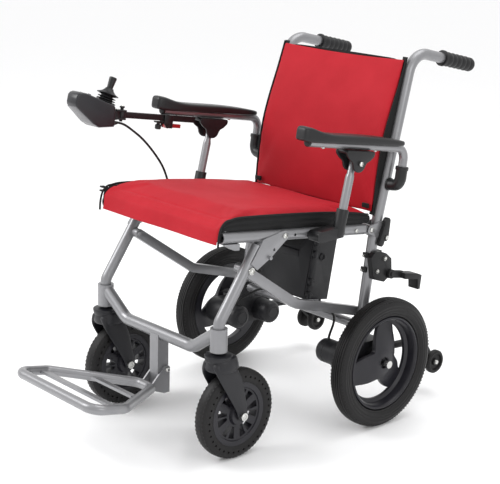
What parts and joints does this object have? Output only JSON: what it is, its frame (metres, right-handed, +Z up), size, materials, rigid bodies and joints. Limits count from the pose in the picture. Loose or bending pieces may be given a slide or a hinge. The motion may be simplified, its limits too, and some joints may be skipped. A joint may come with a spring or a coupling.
{
  "type": "power wheelchair",
  "caption": "Folding power wheelchair with red cushions, two spoked drive wheels, front casters, loop footrest and an armrest joystick.",
  "frame": {"origin": "on the floor under the middle of the whole chair", "axes": "+Z up, the user faces -Y and the user's left side is +X"},
  "size_m": [0.616, 1.085, 0.8669],
  "materials": {
    "silver_paint": "satin",
    "zinc_steel": "satin",
    "black_paint": "satin",
    "motor_casting": "matte",
    "tyre_rubber": "matte",
    "black_plastic": "matte",
    "shell_plastic": "satin",
    "red_fabric": "woven",
    "black_fabric": "woven",
    "pad_foam": "matte",
    "grip_rubber": "matte",
    "red_plastic": "gloss",
    "grey_plastic": "satin",
    "cable_rubber": "satin"
  },
  "bodies": {
    "rear_frame": {"back_canes": "silver_paint", "rear_cross_tube": "silver_paint", "hinge_brackets": "silver_paint", "drive_housings": "motor_casting", "drive_motors": "motor_casting", "anti_tip_arms": "black_paint", "backrest_sling": "black_fabric", "backrest_cushion": "red_fabric", "push_grips": "grip_rubber", "brake_bodies": "black_paint", "battery_case": "black_plastic", "rear_bolts": "zinc_steel", "motor_leads": "cable_rubber", "controller_cable": "cable_rubber"},
    "seat_frame": {"seat_rails": "silver_paint", "seat_cross_tubes": "silver_paint", "seat_sling": "black_fabric", "seat_cushion": "red_fabric", "seat_bolts": "zinc_steel"},
    "front_frame": {"front_legs": "silver_paint", "gusset_plates": "silver_paint", "front_cross_tube": "silver_paint", "front_bolts": "zinc_steel"},
    "lower_rails": {"lower_rails": "silver_paint"},
    "caster_swivel_left": {"caster_fork_left": "black_paint", "caster_axle_left": "zinc_steel"},
    "caster_swivel_right": {"caster_fork_right": "black_paint", "caster_axle_right": "zinc_steel"},
    "caster_wheel_left": {"caster_tyre_left": "tyre_rubber", "caster_rim_left": "black_plastic"},
    "caster_wheel_right": {"caster_tyre_right": "tyre_rubber", "caster_rim_right": "black_plastic"},
    "drive_wheel_left": {"drive_tyre_left": "tyre_rubber", "drive_rim_left": "black_plastic"},
    "drive_wheel_right": {"drive_tyre_right": "tyre_rubber", "drive_rim_right": "black_plastic"},
    "anti_tip_left": {"anti_tip_wheels_left": "tyre_rubber"},
    "anti_tip_right": {"anti_tip_wheels_right": "tyre_rubber"},
    "footrest": {"footrest": "silver_paint"},
    "armrests": {"armrest_tubes": "silver_paint", "armrest_pads": "pad_foam", "armrest_fittings": "black_plastic"},
    "arm_struts": {"strut_tubes": "silver_paint", "strut_elbows": "black_plastic"},
    "controller_slide": {"controller_arm": "black_paint"},
    "clamp_lever": {"arm_clamp_lever": "red_plastic"},
    "controller": {"controller_bracket": "black_paint", "controller_shell": "shell_plastic", "joystick_boot": "grip_rubber"},
    "joystick_gimbal": {"joystick_gimbal": "zinc_steel"},
    "joystick": {"joystick_knob": "grip_rubber"},
    "power_key": {"power_button": "grey_plastic"},
    "horn_key": {"horn_button": "grey_plastic"},
    "faster_key": {"faster_button": "grey_plastic"},
    "slower_key": {"slower_button": "grey_plastic"},
    "battery": {"battery_pack": "black_plastic"},
    "fold_lever_left": {"fold_lever_left": "black_paint"},
    "fold_lever_right": {"fold_lever_right": "black_paint"},
    "brake_pedal_left": {"brake_pedal_left": "black_paint"},
    "brake_pedal_right": {"brake_pedal_right": "black_paint"}
  },
  "joints": [
    {"name": "seat_fold", "type": "hinge", "parent": "rear_frame", "child": "seat_frame", "pos_m": [0, 0.19978, 0.459], "axis": [-1, 0, 0], "range_deg": [0, 40]},
    {"name": "lower_rail_swing", "type": "hinge", "parent": "rear_frame", "child": "lower_rails", "pos_m": [0, 0.19925, 0.254], "axis": [-1, 0, 0], "range_deg": [0, 25.82]},
    {"name": "front_leg_fold", "type": "hinge", "parent": "seat_frame", "child": "front_frame", "pos_m": [0, -0.07869, 0.48827], "axis": [1, 0, 0], "range_deg": [0, 59.58]},
    {"name": "armrest_lift", "type": "hinge", "parent": "rear_frame", "child": "armrests", "pos_m": [0, 0.25422, 0.561], "axis": [-1, 0, 0], "range_deg": [0, 44.36]},
    {"name": "arm_strut_swing", "type": "hinge", "parent": "seat_frame", "child": "arm_struts", "pos_m": [0, 0.00982, 0.47896], "axis": [1, 0, 0], "range_deg": [0, 24.44]},
    {"name": "caster_swivel_left", "type": "hinge", "parent": "front_frame", "child": "caster_swivel_left", "pos_m": [0.205, -0.24873, 0.256], "axis": [0, 0, 1], "continuous": true},
    {"name": "caster_spin_left", "type": "hinge", "parent": "caster_swivel_left", "child": "caster_wheel_left", "pos_m": [0.205, -0.19973, 0.103], "axis": [1, 0, 0], "continuous": true},
    {"name": "drive_spin_left", "type": "hinge", "parent": "rear_frame", "child": "drive_wheel_left", "pos_m": [0.2805, 0.18977, 0.155], "axis": [1, 0, 0], "continuous": true},
    {"name": "anti_tip_spin_left", "type": "hinge", "parent": "rear_frame", "child": "anti_tip_left", "pos_m": [0.21, 0.44677, 0.083], "axis": [1, 0, 0], "continuous": true},
    {"name": "fold_lever_left", "type": "hinge", "parent": "rear_frame", "child": "fold_lever_left", "pos_m": [0.226, 0.23985, 0.437], "axis": [1, 0, 0], "range_deg": [0, 30]},
    {"name": "brake_release_left", "type": "hinge", "parent": "rear_frame", "child": "brake_pedal_left", "pos_m": [0.236, 0.25677, 0.347], "axis": [-1, 0, 0], "range_deg": [0, 22]},
    {"name": "caster_swivel_right", "type": "hinge", "parent": "front_frame", "child": "caster_swivel_right", "pos_m": [-0.205, -0.24873, 0.256], "axis": [0, 0, 1], "continuous": true},
    {"name": "caster_spin_right", "type": "hinge", "parent": "caster_swivel_right", "child": "caster_wheel_right", "pos_m": [-0.205, -0.19973, 0.103], "axis": [1, 0, 0], "continuous": true},
    {"name": "drive_spin_right", "type": "hinge", "parent": "rear_frame", "child": "drive_wheel_right", "pos_m": [-0.2805, 0.18977, 0.155], "axis": [1, 0, 0], "continuous": true},
    {"name": "anti_tip_spin_right", "type": "hinge", "parent": "rear_frame", "child": "anti_tip_right", "pos_m": [-0.21, 0.44677, 0.083], "axis": [1, 0, 0], "continuous": true},
    {"name": "fold_lever_right", "type": "hinge", "parent": "rear_frame", "child": "fold_lever_right", "pos_m": [-0.226, 0.23985, 0.437], "axis": [1, 0, 0], "range_deg": [0, 30]},
    {"name": "brake_release_right", "type": "hinge", "parent": "rear_frame", "child": "brake_pedal_right", "pos_m": [-0.236, 0.25677, 0.347], "axis": [-1, 0, 0], "range_deg": [0, 22]},
    {"name": "footrest_flip", "type": "hinge", "parent": "front_frame", "child": "footrest", "pos_m": [0, -0.24072, 0.158], "axis": [-1, 0, 0], "range_deg": [0, 80]},
    {"name": "battery_slide", "type": "slide", "parent": "rear_frame", "child": "battery", "axis": [0, -0.9848, 0.1736], "range_m": [0, 0.075]},
    {"name": "controller_reach", "type": "slide", "parent": "armrests", "child": "controller_slide", "axis": [0, -0.989, 0.1478], "range_m": [0, 0.06]},
    {"name": "arm_clamp", "type": "hinge", "parent": "armrests", "child": "clamp_lever", "pos_m": [-0.246, -0.0396, 0.65912], "axis": [-1, 0, 0], "range_deg": [0, 70]},
    {"name": "controller_swing", "type": "hinge", "parent": "controller_slide", "child": "controller", "pos_m": [-0.246, -0.17343, 0.69732], "axis": [0, -0.1478, -0.989], "range_deg": [0, 90]},
    {"name": "joystick_fore_aft", "type": "hinge", "parent": "controller", "child": "joystick_gimbal", "pos_m": [-0.246, -0.22724, 0.71476], "axis": [1, 0, 0], "range_deg": [-14, 14], "stiffness_Nm_per_rad": 0.4, "deforming": ["joystick_boot"]},
    {"name": "joystick_side", "type": "hinge", "parent": "joystick_gimbal", "child": "joystick", "pos_m": [-0.246, -0.22724, 0.71476], "axis": [0, 0.9162, -0.4008], "range_deg": [-14, 14], "stiffness_Nm_per_rad": 0.4, "deforming": ["joystick_boot"]},
    {"name": "power_press", "type": "slide", "parent": "controller", "child": "power_key", "axis": [0, -0.4008, -0.9162], "range_m": [0, 0.0015], "stiffness_N_per_m": 200},
    {"name": "horn_press", "type": "slide", "parent": "controller", "child": "horn_key", "axis": [0, -0.4008, -0.9162], "range_m": [0, 0.0015], "stiffness_N_per_m": 200},
    {"name": "faster_press", "type": "slide", "parent": "controller", "child": "faster_key", "axis": [0, -0.4008, -0.9162], "range_m": [0, 0.0015], "stiffness_N_per_m": 200},
    {"name": "slower_press", "type": "slide", "parent": "controller", "child": "slower_key", "axis": [0, -0.4008, -0.9162], "range_m": [0, 0.0015], "stiffness_N_per_m": 200}
  ],
  "couplings": [
    {"joint": "lower_rail_swing", "follows": "seat_fold", "ratio": 0.6441},
    {"joint": "front_leg_fold", "follows": "seat_fold", "ratio": 1.4883},
    {"joint": "armrest_lift", "follows": "seat_fold", "ratio": 1.1077},
    {"joint": "arm_strut_swing", "follows": "seat_fold", "ratio": 0.6097}
  ]
}
